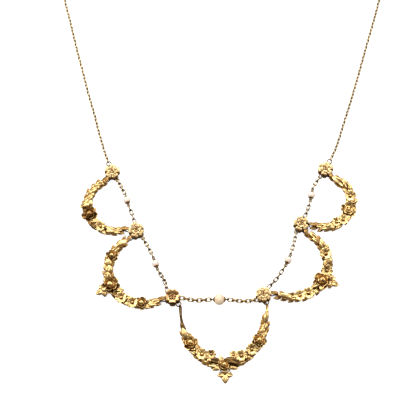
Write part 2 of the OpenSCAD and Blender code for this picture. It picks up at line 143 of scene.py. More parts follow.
# What lies along each garland, from its +X end (0 degrees) to its -X end (180): kind, place along, out from
# the middle line, turn outward from the way to the nearer end, size, height
CENTRE_MOTIFS = [
    ("slim_bud", 11.5, 0.0, 2, 5.4, 0.85), ("leaf", 22, 0.1, 6, 3.4, 0.95), ("leaf", 27, -0.2, -8, 3.2, 0.95),
    ("leaf", 31, 0.6, 16, 2.8, 0.9), ("rose", 38.5, 0.1, 0, 2.05, 0.85), ("leaf", 46, 1.1, 24, 2.6, 0.95),
    ("flower", 51, -0.2, 20, 1.8, 1.2), ("berry", 58.5, 0.9, 0, 0.68, 1.2), ("berry", 61, 0.2, 0, 0.72, 1.4),
    ("leaf", 61, 1.1, 22, 2.8, 1.0), ("flower", 66, -0.8, 50, 1.75, 1.35),
    ("flower", 75, -2.1, 10, 1.3, 1.15), ("leaf", 71, 0.8, 14, 3.4, 1.1),
    ("dark_leaf", 79, -0.2, 40, 5.2, 1.5), ("bud", 80, 1.6, 30, 3.0, 1.0),
    ("dark_leaf", 86.5, 1.4, 60, 2.0, 0.9), ("dark_leaf", 93.5, 1.4, 60, 2.0, 0.9),
    ("rose", 91, 0.4, 24, 1.9, 1.0), ("leaf", 95, -1.0, -66, 3.4, 1.4), ("dark_leaf", 104, -0.3, 8, 4.0, 1.3),
    ("leaf", 103, 1.0, 20, 3.4, 1.1), ("bud", 100, 1.8, 34, 2.8, 1.0), ("flower", 112, -1.8, 40, 1.4, 1.25),
    ("leaf", 113, 0.7, 16, 3.2, 1.1), ("berry", 112, 0.2, 0, 0.72, 1.45),
    ("berry", 115.5, -0.1, 0, 0.64, 1.4), ("flower", 122, -0.2, 5, 1.8, 1.3),
    ("leaf", 129, 1.0, 22, 3.0, 0.95), ("leaf", 131, -0.5, -14, 2.8, 1.0),
    ("rose", 140, 0.1, 40, 2.15, 0.85), ("bud", 151.5, 0.3, 4, 4.4, 1.05),
    ("dark_bud", 159, 0.2, 6, 3.4, 0.9),
]
MIDDLE_LEFT_MOTIFS = [
    ("leaf", 9, 0.0, 0, 3.2, 0.9), ("leaf", 16, -0.5, -12, 3.4, 0.95), ("leaf", 17, 0.5, 14, 3.4, 1.0),
    ("leaf", 24, 1.0, 22, 2.8, 0.95), ("rose", 32.5, -0.1, 0, 1.85, 0.95), ("flower", 46, 0.2, 30, 1.7, 1.2),
    ("leaf", 54, 1.0, 24, 3.0, 1.05), ("leaf", 57, -0.7, -18, 3.2, 1.1), ("flower", 65, 0.4, 10, 1.75, 1.25),
    ("dark_leaf", 76, 1.0, 28, 3.4, 1.1), ("leaf", 76, -1.1, -40, 3.2, 1.15),
    ("rose", 92, 0.2, 10, 2.5, 0.85), ("scale", 106, 0.2, 24, 3.0, 1.15),
    ("berry", 112, 0.7, 0, 0.6, 1.3), ("scale", 117, -0.1, -22, 3.0, 1.2),
    ("leaf", 121, 0.9, 26, 2.8, 1.1), ("scale", 128, 0.2, 12, 3.0, 1.1), ("rose", 142, -0.1, 30, 1.85, 0.9),
    ("leaf", 153, 0.0, -16, 3.6, 1.05), ("bud", 165, 0.1, 172, 4.6, 0.95),
]
MIDDLE_RIGHT_MOTIFS = [
    ("leaf", 12, 0.2, 8, 3.6, 0.95), ("leaf", 21, -0.3, -14, 3.4, 1.0), ("leaf", 31, 0.4, 18, 4.0, 1.1),
    ("leaf", 38, 1.2, 60, 2.6, 1.0), ("flower", 48, 0.0, 10, 1.85, 1.2), ("scale", 60, 0.3, 12, 3.2, 1.05),
    ("dark_leaf", 55, -0.9, -36, 2.6, 1.25), ("dark_leaf", 69, 0.9, 40, 2.6, 1.25),
    ("leaf", 65, -0.6, -16, 2.8, 1.1), ("flower", 77, 0.0, 32, 1.85, 1.25), ("leaf", 84, 1.4, 64, 2.8, 1.05),
    ("rose", 95, -0.1, 40, 2.5, 0.85), ("leaf", 104, 0.9, 30, 3.4, 1.1), ("leaf", 107, -0.6, -14, 3.8, 1.15),
    ("leaf", 116, 0.7, 16, 3.2, 1.1), ("flower", 126, 0.1, 0, 1.8, 1.25), ("leaf", 133, 1.0, 22, 3.0, 1.0),
    ("flower", 140, -0.1, 50, 1.7, 1.2), ("leaf", 149, 0.4, 8, 3.6, 1.05),
    ("dark_leaf", 153, -0.4, -10, 3.4, 1.05), ("bud", 164, 0.0, 0, 4.8, 0.9),
]
UPPER_LEFT_MOTIFS = [
    ("leaf", 13, 0.0, 0, 2.8, 0.9), ("leaf", 19, 0.4, 14, 3.2, 1.0), ("leaf", 20, -0.4, -14, 3.0, 0.95),
    ("scale", 31, 0.0, 4, 3.4, 1.1), ("leaf", 42, 1.0, 26, 2.8, 1.0), ("leaf", 41, -0.6, -20, 2.8, 1.0),
    ("flower", 52, -0.1, 40, 1.6, 1.2), ("dark_leaf", 63, 0.9, 20, 3.6, 1.05),
    ("leaf", 69, -0.5, -44, 3.4, 1.15), ("dark_rose", 89, -0.2, 20, 2.25, 0.75),
    ("leaf", 110, 0.8, 122, 3.8, 1.25), ("scale", 113, -0.2, -44, 3.2, 1.05),
    ("leaf", 123, 0.0, -42, 4.0, 1.1), ("scale", 133, 0.1, -36, 3.2, 1.0), ("leaf", 143, 0.0, -34, 3.8, 1.05),
    ("scale", 153, 0.1, -28, 3.0, 0.95), ("scale", 165, 0.0, -14, 2.8, 0.9),
]
UPPER_RIGHT_MOTIFS = [
    ("leaf", 18, -0.45, 0, 5.8, 1.05), ("leaf", 31, 0.5, 14, 4.4, 0.95), ("leaf", 42, 1.0, 30, 3.0, 1.0),
    ("leaf", 46, -0.7, -26, 2.8, 1.05), ("flower", 59, 0.0, 20, 1.8, 1.2), ("leaf", 70, 1.2, 62, 2.8, 1.1),
    ("scale", 73, -0.4, -10, 2.8, 1.0), ("open_rose", 90, -0.3, 0, 2.3, 0.75),
    ("scale", 86, 0.8, 150, 2.8, 0.85), ("leaf", 106, 0.8, 34, 3.2, 1.05),
    ("flower", 116, 0.2, 30, 1.65, 1.2), ("flower", 130, -0.4, 0, 1.55, 1.2),
    ("leaf", 131, 1.0, 26, 3.0, 1.0), ("scale", 143, 0.2, 10, 3.2, 1.05), ("leaf", 154, -0.4, -18, 3.4, 1.05),
    ("leaf", 157, 0.5, 14, 3.4, 1.0), ("leaf", 167, 0.0, 0, 3.0, 0.9),
]
# For each garland: its motifs, half width of the metal strip under them at the middle, half width of the
# leaves at the ends and at the middle, size of the trefoil and its gap below the strip, and where the low
# leaves start and stop
DRESSING = {
    "garland_upper_left": (UPPER_LEFT_MOTIFS, 0.95, (0.95, 1.5), None, (14, 168)),
    "garland_middle_left": (MIDDLE_LEFT_MOTIFS, 1.1, (0.9, 1.65), (4.2, 0.85), (11, 166)),
    "garland_centre": (CENTRE_MOTIFS, 1.5, (0.6, 2.0), (4.6, 0.5), (20, 146)),
    "garland_middle_right": (MIDDLE_RIGHT_MOTIFS, 1.1, (0.9, 1.65), (4.2, 0.3), (13, 166)),
    "garland_upper_right": (UPPER_RIGHT_MOTIFS, 0.95, (0.95, 1.5), None, (15, 168)),
}


# Studio, in metres and watts

# How far the camera sees
VIEW_END = 10
# Softboxes: place, size, power, and whether the metal mirrors them; and the point that they face
SOFTBOXES = {
    "back_softbox": ((0.05, 0.45, 0.42), (0.5, 0.24), 1.8, True),
    "left_strip": ((-0.5, 0.15, 0.40), (0.14, 0.45), 1.6, True),
    "right_strip": ((0.55, 0.1, 0.36), (0.12, 0.4), 1.0, True),
    "pearl_fill": ((-0.1, -0.45, 0.5), (0.5, 0.4), 1.9, False),
}
SOFTBOX_AIM = (0, -0.03, 0)
# Tints of the sky on its way from the front (0) to the back (1)
SKY_TINTS = [(0.26, (0.125, 0.085, 0.05)), (0.60, (0.74, 0.74, 0.74)), (0.85, (0.98, 0.98, 0.98))]
# The table: side, tint, roughness, glow, and the tint that the metal and the pearls see
TABLE_SIDE = 4
TABLE_TINT = (0.93, 0.93, 0.93)
TABLE_ROUGHNESS = 0.9
TABLE_GLOW = 0.6
TABLE_BELOW_TINT = (0.33, 0.28, 0.22)


def set_camera():
    """The picture's view, with its colours shown plainly."""
    camera = bpy.data.cameras.new("camera")
    camera.lens = LENS
    camera.sensor_width = SENSOR
    camera.clip_end = VIEW_END
    viewer = bpy.data.objects.new("camera", camera)
    bpy.context.scene.collection.objects.link(viewer)
    tip = math.radians(90 - VIEW_ELEVATION)
    away = Vector((0, -math.sin(tip), math.cos(tip))) * VIEW_DISTANCE
    viewer.location = (Vector(VIEW_TARGET) + away) * MM
    viewer.rotation_euler = (tip, 0, 0)
    bpy.context.scene.camera = viewer
    bpy.context.scene.view_settings.view_transform = "Standard"


def softbox(name, place, size, power, mirrored):
    """An area light that faces the necklace."""
    light = bpy.data.lights.new(name, "AREA")
    light.shape = "RECTANGLE"
    light.size, light.size_y = size
    light.energy = power
    lamp = bpy.data.objects.new(name, light)
    bpy.context.scene.collection.objects.link(lamp)
    lamp.location = place
    lamp.visible_glossy = mirrored
    aim = Vector(SOFTBOX_AIM) - Vector(place)
    lamp.rotation_euler = aim.to_track_quat("-Z", "Y").to_euler()


def fill_ramp(node, *stops):
    """Gives a colour ramp its stops in order, each a place and a tint."""
    elements = node.color_ramp.elements
    for element, (place, tint) in zip(elements, (stops[0], stops[-1])):
        element.position = place
        element.color = (*tint, 1)
    for place, tint in stops[1:-1]:
        elements.new(place).color = (*tint, 1)


def hang_sky():
    """A sky that shades from warm and dark in front to white behind."""
    world = bpy.data.worlds.new("studio")
    bpy.context.scene.world = world
    world.use_nodes = True
    nodes, links = world.node_tree.nodes, world.node_tree.links
    where = nodes.new("ShaderNodeTexCoord")
    split = nodes.new("ShaderNodeSeparateXYZ")
    # Y goes from -1 to 1, and the ramp from 0 to 1
    level = nodes.new("ShaderNodeMath")
    level.operation = "MULTIPLY_ADD"
    level.inputs[1].default_value = 0.5
    level.inputs[2].default_value = 0.5
    ramp = nodes.new("ShaderNodeValToRGB")
    fill_ramp(ramp, *SKY_TINTS)
    links.new(where.outputs["Generated"], split.inputs[0])
    links.new(split.outputs["Y"], level.inputs[0])
    links.new(level.outputs[0], ramp.inputs[0])
    links.new(ramp.outputs[0], nodes["Background"].inputs["Color"])


def lay_table():
    """A white table for the camera, and a warm grey one for what mirrors it."""
    bpy.ops.object.select_all(action="DESELECT")
    bpy.ops.mesh.primitive_plane_add(size=TABLE_SIDE)
    floor = bpy.context.active_object
    floor.name = "floor"
    paper, nodes, links, lit = new_finish("white_table")
    lit.inputs["Base Color"].default_value = (*TABLE_TINT, 1)
    lit.inputs["Roughness"].default_value = TABLE_ROUGHNESS
    lit.inputs["Emission Color"].default_value = (1, 1, 1, 1)
    lit.inputs["Emission Strength"].default_value = TABLE_GLOW
    seen = nodes.new("ShaderNodeLightPath")
    grey = nodes.new("ShaderNodeBsdfDiffuse")
    grey.inputs["Color"].default_value = (*TABLE_BELOW_TINT, 1)
    mix = nodes.new("ShaderNodeMixShader")
    links.new(seen.outputs["Is Camera Ray"], mix.inputs[0])
    links.new(grey.outputs[0], mix.inputs[1])
    links.new(lit.outputs[0], mix.inputs[2])
    links.new(mix.outputs[0], nodes["Material Output"].inputs[0])
    floor.data.materials.append(paper)


# Finishes

# Golds: tint in the open, and the darker tint that paints shade into the recesses, with some patina;
# roughness, and height of the grain. Some also say at which shares of open sky the two tints lie (span), how
# far a hollow is felt (reach), and the range of the cloud and of the tone that it gives (patches).
GOLDS = {
    "garland_gold": {
        "base": (0.88, 0.60, 0.25), "recess_shade_and_patina": (0.27, 0.137, 0.035), "roughness": 0.27, "grain": 0.02,
        "span": (0.34, 0.92), "patches": (0.34, 0.56, 0.54, 1.14),
    },
    "rosette_gold": {
        "base": (0.93, 0.665, 0.325), "recess_shade_and_patina": (0.42, 0.205, 0.055), "roughness": 0.34, "grain": 0.03,
        "span": (0.40, 0.90),
    },
    # Darker copy of the garland gold for what lies under the relief, the dark motifs and the pearls' caps:
    # painted shade
    "shaded_low_gold": {
        "base": (0.45, 0.26, 0.085), "recess_shade_and_patina": (0.13, 0.055, 0.012), "roughness": 0.30, "grain": 0.01,
    },
    # Warmer copy of the rosette gold for the tilted rosette: painted warm reflection
    "warm_reflection_gold": {
        "base": (0.90, 0.57, 0.25), "recess_shade_and_patina": (0.40, 0.17, 0.048), "roughness": 0.34, "grain": 0.03,
        "span": (0.40, 0.90),
    },
    # The rosettes' base and lugs: near black, painted shade under the petals
    "dark_gold": {
        "base": (0.16, 0.078, 0.026), "recess_shade_and_patina": (0.06, 0.024, 0.009), "roughness": 0.36, "grain": 0.01,
    },
    # Jump rings: a dark gold, painted shade under the rosettes
    "ring_gold": {
        "base": (0.24, 0.145, 0.055), "recess_shade_and_patina": (0.07, 0.035, 0.014), "roughness": 0.26, "grain": 0.008,
    },
    "wire_gold": {
        "base": (0.36, 0.235, 0.095), "recess_shade_and_patina": (0.12, 0.065, 0.024), "roughness": 0.26, "grain": 0.008,
    },
    "chain_gold": {
        "base": (0.90, 0.68, 0.36), "recess_shade_and_patina": (0.13, 0.08, 0.032), "roughness": 0.28, "grain": 0.008,
        "span": (0.30, 0.80), "reach": 0.4,
    },
    "oval_gold": {
        "base": (0.84, 0.60, 0.28), "recess_shade_and_patina": (0.16, 0.10, 0.04), "roughness": 0.26, "grain": 0.008,
        "span": (0.30, 0.80), "reach": 0.5,
    },
}
# What a gold turns to where its mesh is marked for painted shade: under a rosette's bead, where links cross,
# and on dark leaves
PAINTED_SHADE_TINTS = {
    "rosette_gold": (0.30, 0.12, 0.035),
    "warm_reflection_gold": (0.30, 0.12, 0.035),
    "shaded_low_gold": (0.07, 0.038, 0.014),
    "chain_gold": (0.15, 0.096, 0.04),
    "oval_gold": (0.42, 0.28, 0.12),
}
# Scale and detail of the cloud in a gold's tone and of its grain
PATCH_NOISE = (760, 3)
GRAIN_NOISE = (4200, 2)
GRAIN_STRENGTH = 0.6
# How much rougher a gold is in its recesses, and how many samples find them
RECESS_ROUGHER = 0.12
RECESS_SAMPLES = 8

# Pearls: low and high tint, the rest of their skin, and the noise between the tints with its span
PEARL_TINTS = {
    "cream_pearl": ((0.76, 0.57, 0.38), (0.94, 0.80, 0.59)),
    "white_pearl": ((0.82, 0.67, 0.55), (0.93, 0.84, 0.74)),
}
PEARL_SKIN = {
    "Roughness": 0.32, "Coat Weight": 0.4, "Coat Roughness": 0.12,
    "Subsurface Weight": 0.25, "Subsurface Scale": 0.4 * MM,
}
PEARL_NOISE = (700, 2)
PEARL_SPAN = (0.35, 0.65)


def new_finish(name):
    """A material, its nodes, their links and its main shader."""
    finish = bpy.data.materials.new(name)
    finish.use_nodes = True
    tree = finish.node_tree
    return finish, tree.nodes, tree.links, tree.nodes["Principled BSDF"]


def noise(nodes, links, scale, detail):
    """Noise that stays on the object, from 0 to 1."""
    place = nodes.new("ShaderNodeTexCoord")
    cloud = nodes.new("ShaderNodeTexNoise")
    cloud.inputs["Scale"].default_value = scale
    cloud.inputs["Detail"].default_value = detail
    links.new(place.outputs["Object"], cloud.inputs["Vector"])
    return cloud.outputs["Fac"]


def gold(name, base, recess_shade_and_patina, roughness, grain, span=(0.32, 0.86), reach=1.5, patches=(0, 1, 0.66, 1.22)):
    """Yellow gold: shade painted into its recesses, with some patina, makes them darker; uneven in tone by
    its patches, with a fine grain.
    """
    finish, nodes, links, shader = new_finish(name)
    shader.inputs["Metallic"].default_value = 1
    hollow = nodes.new("ShaderNodeAmbientOcclusion")
    hollow.only_local = True
    hollow.samples = RECESS_SAMPLES
    hollow.inputs["Distance"].default_value = reach * MM
    # The darker tint where little sky is open paints shade into the hollows, with some patina
    depth = nodes.new("ShaderNodeValToRGB")
    fill_ramp(depth, (span[0], recess_shade_and_patina), (span[1], base))
    tone = nodes.new("ShaderNodeMapRange")
    for key, value in zip(("From Min", "From Max", "To Min", "To Max"), patches):
        tone.inputs[key].default_value = value
    mix = nodes.new("ShaderNodeMix")
    mix.data_type = "RGBA"
    mix.blend_type = "MULTIPLY"
    mix.inputs["Factor"].default_value = 1
    links.new(hollow.outputs["AO"], depth.inputs[0])
    links.new(noise(nodes, links, *PATCH_NOISE), tone.inputs["Value"])
    links.new(depth.outputs[0], mix.inputs["A"])
    links.new(tone.outputs[0], mix.inputs["B"])
    links.new(mix.outputs["Result"], shader.inputs["Base Color"])
    rough = nodes.new("ShaderNodeMapRange")
    rough.inputs["To Min"].default_value = roughness + RECESS_ROUGHER
    rough.inputs["To Max"].default_value = roughness
    links.new(hollow.outputs["AO"], rough.inputs["Value"])
    links.new(rough.outputs[0], shader.inputs["Roughness"])
    bump = nodes.new("ShaderNodeBump")
    bump.inputs["Distance"].default_value = grain * MM
    bump.inputs["Strength"].default_value = GRAIN_STRENGTH
    links.new(noise(nodes, links, *GRAIN_NOISE), bump.inputs["Height"])
    links.new(bump.outputs[0], shader.inputs["Normal"])
    return finish


def paint_marked_shade(finish, tint):
    """Paints shade: gives a gold a darker tint where the points of the mesh are marked for it."""
    nodes, links = finish.node_tree.nodes, finish.node_tree.links
    shader = nodes["Principled BSDF"]
    before = shader.inputs["Base Color"].links[0].from_socket
    mark = nodes.new("ShaderNodeAttribute")
    mark.attribute_name = "painted_shade"
    mix = nodes.new("ShaderNodeMix")
    mix.data_type = "RGBA"
    mix.inputs["B"].default_value = (*tint, 1)
    links.new(mark.outputs["Fac"], mix.inputs["Factor"])
    links.new(before, mix.inputs["A"])
    links.new(mix.outputs["Result"], shader.inputs["Base Color"])


def pearl_finish(name, low, high):
    """Pearl that shades from a low tint to a high one, with a soft clear skin."""
    finish, nodes, links, shader = new_finish(name)
    for key, value in PEARL_SKIN.items():
        shader.inputs[key].default_value = value
    tint = nodes.new("ShaderNodeValToRGB")
    fill_ramp(tint, (PEARL_SPAN[0], low), (PEARL_SPAN[1], high))
    links.new(noise(nodes, links, *PEARL_NOISE), tint.inputs[0])
    links.new(tint.outputs[0], shader.inputs["Base Color"])
    return finish


# Work in edit mode

def begin(primitive, **values):
    """Adds a primitive by itself and goes into edit mode."""
    bpy.ops.object.select_all(action="DESELECT")
    primitive(**values)
    bpy.ops.object.mode_set(mode="EDIT")
    bpy.context.tool_settings.mesh_select_mode = (True, False, False)


def begin_along_x(primitive, **values):
    """Adds a primitive by itself with its axis along X and goes into edit mode."""
    begin(primitive, rotation=(0, math.pi / 2, 0), **values)
    bpy.ops.object.mode_set(mode="OBJECT")
    bpy.ops.object.transform_apply(rotation=True)
    bpy.ops.object.mode_set(mode="EDIT")


def pick(test):
    """Selects the points that pass the test."""
    mesh = bpy.context.edit_object.data
    work = bmesh.from_edit_mesh(mesh)
    for vertex in work.verts:
        vertex.select = bool(test(vertex.co))
    work.select_flush_mode()
    bmesh.update_edit_mesh(mesh)


def pick_all():
    bpy.ops.mesh.select_all(action="SELECT")


def shift(x=0, y=0, z=0):
    bpy.ops.transform.translate(value=(x, y, z))


def stretch(x=1, y=1, z=1, centre=(0, 0, 0)):
    bpy.ops.transform.resize(value=(x, y, z), center_override=centre)


def finish_piece(name):
    """Leaves edit mode and names the piece."""
    bpy.ops.object.mode_set(mode="OBJECT")
    piece = bpy.context.active_object
    piece.name = name
    piece.data.name = name
    return piece


# Whole pieces

# Faces that meet at more than these angles keep a sharp edge: by default, and on round pieces
SMOOTH_EDGES = 50
ROUND_EDGES = 80


def apply(piece, kind, **values):
    """Adds a modifier with these values and applies it."""
    modifier = piece.modifiers.new(kind.lower(), kind)
    for key, value in values.items():
        setattr(modifier, key, value)
    bpy.context.view_layer.objects.active = piece
    bpy.ops.object.modifier_apply(modifier=modifier.name)


def copy_at(piece, place):
    """A copy with its own mesh, its place in the mesh."""
    new = piece.copy()
    new.data = piece.data.copy()
    new.data.transform(place)
    bpy.context.scene.collection.objects.link(new)
    return new


def join(name, parts):
    """Makes one piece of the parts and names it."""
    bpy.ops.object.select_all(action="DESELECT")
    for part in parts:
        part.select_set(True)
    bpy.context.view_layer.objects.active = parts[0]
    bpy.ops.object.join()
    piece = bpy.context.active_object
    piece.name = name
    piece.data.name = name
    return piece


def smooth(piece, angle=SMOOTH_EDGES):
    """Shades a piece smoothly where its faces meet at less than the angle."""
    bpy.ops.object.select_all(action="DESELECT")
    piece.select_set(True)
    bpy.context.view_layer.objects.active = piece
    bpy.ops.object.shade_smooth_by_angle(angle=math.radians(angle))
    return piece


def about(axis, degrees):
    return Matrix.Rotation(math.radians(degrees), 4, axis)


def at(x, y, z=0):
    return Matrix.Translation((x, y, z))


def scaled(x, y, z):
    return Matrix.Diagonal((x, y, z, 1))


def bearing_of_petals(way):
    """The angle of a way in the XY plane, from +X."""
    return math.degrees(math.atan2(way.y, way.x))


def mark_painted_shade(piece, test, amount):
    """Marks the points that pass the test for painted shade, which the finish darkens."""
    painted_shade = piece.data.attributes.get("painted_shade") or piece.data.attributes.new("painted_shade", "FLOAT", "POINT")
    for vertex, mark in zip(piece.data.vertices, painted_shade.data):
        if test(vertex.co):
            mark.value = amount
    return piece


def dress(piece, finish, slot, *nodes):
    """Gives a finished piece its material, and the nodes that it stands for."""
    piece.data.materials.clear()
    piece.data.materials.append(finish)
    for face in piece.data.polygons:
        face.material_index = 0
    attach(piece, "root")
    if nodes:
        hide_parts(*nodes)


def put_away(pieces):
    """Deletes the pieces that the copies were made from."""
    for piece in pieces:
        bpy.data.objects.remove(piece)


# Leaves, petals, roses and berries, each one unit long or of unit radius

# Leaves and petals: half widths and heights at equal steps from the root, heights of the rows from one edge
# to the other, thickness, and the depth of the side veins or of the nick in the edge
BLADES = {
    "leaf": {
        "half_widths": (0.07, 0.21, 0.21, 0.30, 0.26, 0.27, 0.17, 0.12, 0.0),
        "arch": (0.0, 0.05, 0.09, 0.12, 0.13, 0.12, 0.10, 0.06, -0.02),
        "rows": (-0.12, 0.02, 0.07, -0.04, 0.07, 0.02, -0.12),
        "thick": 0.09, "veins": 0.022,
    },
    "scale": {
        "half_widths": (0.12, 0.26, 0.38, 0.44, 0.44, 0.38, 0.22),
        "arch": (0.0, 0.07, 0.12, 0.14, 0.13, 0.09, 0.02),
        "rows": (-0.16, 0.03, 0.08, 0.0, 0.08, 0.03, -0.16),
        "thick": 0.09, "veins": 0.02,
    },
    "petal": {
        "half_widths": (0.15, 0.31, 0.46, 0.52, 0.36),
        "arch": (0.0, 0.05, 0.10, 0.12, 0.08),
        "rows": (0.09, 0.04, -0.04, 0.04, 0.09),
        "thick": 0.09, "notch": 0.05,
    },
    "cup_petal": {
        "half_widths": (0.20, 0.42, 0.54, 0.54, 0.34),
        "arch": (0.0, -0.06, -0.08, -0.05, 0.02),
        "rows": (0.22, 0.06, 0.0, 0.06, 0.22),
        "thick": 0.09,
    },
    "heart_petal": {
        "half_widths": (0.22, 0.36, 0.47, 0.53, 0.53, 0.42),
        "arch": (0.0, 0.05, 0.09, 0.10, 0.08, 0.0),
        "rows": (-0.04, 0.04, 0.0, 0.06, 0.0, 0.04, -0.04),
        "thick": 0.12, "notch": 0.10,
    },
}
# The side veins' reach, as shares of the half width, and how close points are to become one
VEIN_START = 0.05
VEIN_STOP = 0.8
WELD = 0.004

# Bud: breadth and height, what is kept of them past each reach, how deep the fold is, from which height and
# how wide it is picked, and the place of the middle
BUD_BREADTH = 0.46
BUD_HEIGHT = 0.42
BUD_TAPER = [(0.1, 0.9), (0.25, 0.8), (0.4, 0.7)]
BUD_FOLD = 0.05
BUD_FOLD_FROM = 0.1
BUD_FOLD_HALF_W = 0.02
BUD_MIDDLE = (0.45, 0.08)
# Berry: how deep its top is pressed in, and from which height
BERRY_DENT = 0.06
BERRY_DENT_FROM = 0.95

# Blooms: petal; rings of petals (number, reach, height, tilt, size, turn); beads (place, radii)
BLOOMS = {
    "flower": ("petal", [(5, 0.10, 0.04, 11, 0.95, 10)], [((0, 0, 0.16), (0.25, 0.25, 0.25))]),
    "rose": (
        "cup_petal",
        [(5, 0.18, 0.06, 8, 0.92, 0), (4, 0.10, 0.18, 25, 0.72, 30), (3, 0.06, 0.32, 50, 0.52, 74)],
        [((0.02, 0.05, 0.46), (0.43, 0.41, 0.44)), ((0, 0, 0.10), (0.66, 0.66, 0.34))],
    ),
    "open_rose": (
        "cup_petal",
        [(5, 0.16, 0.08, 6, 0.92, 20), (4, 0.06, 0.20, 14, 0.66, 50), (3, 0.04, 0.30, 34, 0.42, 74)],
        [((0.02, 0.03, 0.34), (0.24, 0.22, 0.26)), ((0, 0, 0.10), (0.66, 0.66, 0.34))],
    ),
}


def blade(name, half_widths, arch, rows, thick, notch=0, veins=0):
    """A leaf or petal along +X, with its root at the origin."""
    columns, lines = len(half_widths) - 1, len(rows) - 1
    begin(bpy.ops.mesh.primitive_grid_add, x_subdivisions=columns, y_subdivisions=lines, size=1)
    for line, height in enumerate(rows):
        y = line / lines - 0.5
        pick(lambda point: abs(point.y - y) < TINY)
        shift(z=height)
    widest = max(half_widths)
    for column, half in enumerate(half_widths):
        x = column / columns - 0.5
        pick(lambda point: abs(point.x - x) < TINY)
        stretch(y=2 * half, z=half / widest, centre=(x, 0, 0))
        shift(z=arch[column])
        if veins and column % 2:
            pick(lambda point: abs(point.x - x) < TINY
                 and VEIN_START * half < abs(point.y) < VEIN_STOP * half)
            shift(z=-veins)
    if notch:
        pick(lambda point: point.x > 0.5 - TINY and abs(point.y) < TINY)
        shift(x=-notch)
    pick_all()
    shift(x=0.5)
    bpy.ops.mesh.remove_doubles(threshold=WELD)
    piece = finish_piece(name)
    apply(piece, "SOLIDIFY", thickness=thick, offset=-1)
    apply(piece, "SUBSURF", levels=1, render_levels=1)
    return piece


def make_bud():
    """A smooth drop along +X, narrow at its tip, with a fold along it."""
    begin_along_x(bpy.ops.mesh.primitive_uv_sphere_add, segments=12, ring_count=8, radius=0.5)
    pick_all()
    stretch(y=BUD_BREADTH, z=BUD_HEIGHT)
    for reach, keep in BUD_TAPER:
        pick(lambda point: point.x > reach)
        stretch(y=keep, z=keep)
    pick(lambda point: point.z > BUD_FOLD_FROM and abs(point.y) < BUD_FOLD_HALF_W)
    shift(z=-BUD_FOLD)
    pick_all()
    shift(x=BUD_MIDDLE[0], z=BUD_MIDDLE[1])
    return smooth(finish_piece("bud"), ROUND_EDGES)


def make_berry():
    """A bead, a little flattened on top."""
    begin(bpy.ops.mesh.primitive_uv_sphere_add, segments=14, ring_count=9, radius=1)
    pick(lambda point: point.z > BERRY_DENT_FROM)
    shift(z=-BERRY_DENT)
    return smooth(finish_piece("berry"), ROUND_EDGES)


def ring_of_petals(petal, count, reach, lift, tilt, size, turn, breadth=1):
    """Petals round the Z axis."""
    return [
        copy_at(petal, about("Z", turn + step * 360 / count) @ at(reach, 0, lift)
                @ about("Y", -tilt) @ scaled(size, size * breadth, size))
        for step in range(count)
    ]


def make_bloom(name, motifs):
    """Rings of petals round beads, as BLOOMS says."""
    petal, rings, beads = BLOOMS[name]
    parts = [part for ring in rings for part in ring_of_petals(motifs[petal], *ring)]
    parts += [copy_at(motifs["berry"], at(*place) @ scaled(*radii)) for place, radii in beads]
    return smooth(join(name, parts))


def make_motifs():
    """Every motif by its name. Petals are smoothed only once they are joined."""
    motifs = {name: blade(name, **shape) for name, shape in BLADES.items()}
    smooth(motifs["leaf"])
    smooth(motifs["scale"])
    motifs["bud"] = make_bud()
    motifs["berry"] = make_berry()
    for name in BLOOMS:
        motifs[name] = make_bloom(name, motifs)
    return motifs


def make_eye():
    """A soldered eye, flat in the XY plane."""
    begin(bpy.ops.mesh.primitive_torus_add, major_radius=EYE_D / 2, minor_radius=EYE_WIRE / 2,
          major_segments=20, minor_segments=8)
    return smooth(finish_piece("eye"), ROUND_EDGES)


def stand_eye(eye, place, way):
    """An eye that stands on edge along its way."""
    return copy_at(eye, at(place.x, place.y, RING_Z) @ about("Z", bearing_of_petals(way)) @ about("X", 90))


# Garlands

# How motifs lie: rise of a leaf's tip, sways of a bloom and of any motif, and breadth of a slim bud
LEAF_RISE = 9
BLOOM_SWAY = 5
MOTIF_SWAY = 8
SLIM = 0.62
# How much painted shade darkens the dark leaves and the left end of the centre garland, and how far down that
# end reaches
DARK_LEAF_SHADE = 0.8
LEFT_END_SHADE = 0.85
LEFT_END_Y = -6.5

# The metal strip: half width at the ends, height, faces along it, and its half width before it is stretched
STRIP_END_HALF_W = 0.34
STRIP_H = 0.7
STRIP_STEPS = 40
STRIP_UNIT = 0.1

# The stem from each end's eye: how far behind the eye's middle it starts, place of its foot, radius, spare
# length, narrowing at the start, height of its middle and thickening
STEM_START = 0.5
STEM_FOOT = 9
STEM_R = 0.36
STEM_SPARE = 0.5
STEM_NARROWING = (0.75, 0.8)
STEM_Z = 0.5
STEM_THICKENING = 1.2
# The leaf over an eye: height, how far back its root lies, and size
COVER_Z = 1.36
COVER_BACK = 1.0
COVER_SIZE = (2.5, 2.4, 1.6)

# Trefoil of size one: lobes (across, down, turn, length) with the height that each lies at; their breadth;
# the bud between them (above the strip's edge, height, length without the gap)
TREFOIL_LOBES = [(0.05, 0.16, -164, 0.60, 0.62), (-0.05, 0.16, -16, 0.60, 0.62), (0.0, 0.20, -90, 0.66, 0.75)]
LOBE_BREADTH = 1.35
TREFOIL_BUD = (0.4, 0.75, 1.8)

# Low leaves: spacing, spread of a pair along and across, turn outward and what every other pair adds to it,
# height and its growth, rise of the tip, size, and growth of the breadth with the garland's
LOW_SPACING = 1.35
LOW_SPREAD = (3, 0.35)
LOW_TURN = (16, 6)
LOW_Z = (0.45, 0.1)
LOW_RISE = 5
LOW_SIZE = (2.5, 1.9, 2.2)
LOW_GROWTH = 0.3


def spot(half_w, drop, along, out=0.0):
    """A point beside the half ellipse of a garland, in the garland's own plane."""
    angle = math.radians(along)
    normal = Vector((drop * math.cos(angle), -half_w * math.sin(angle))).normalized()
    return Vector((half_w * math.cos(angle), -drop * math.sin(angle))) + out * normal


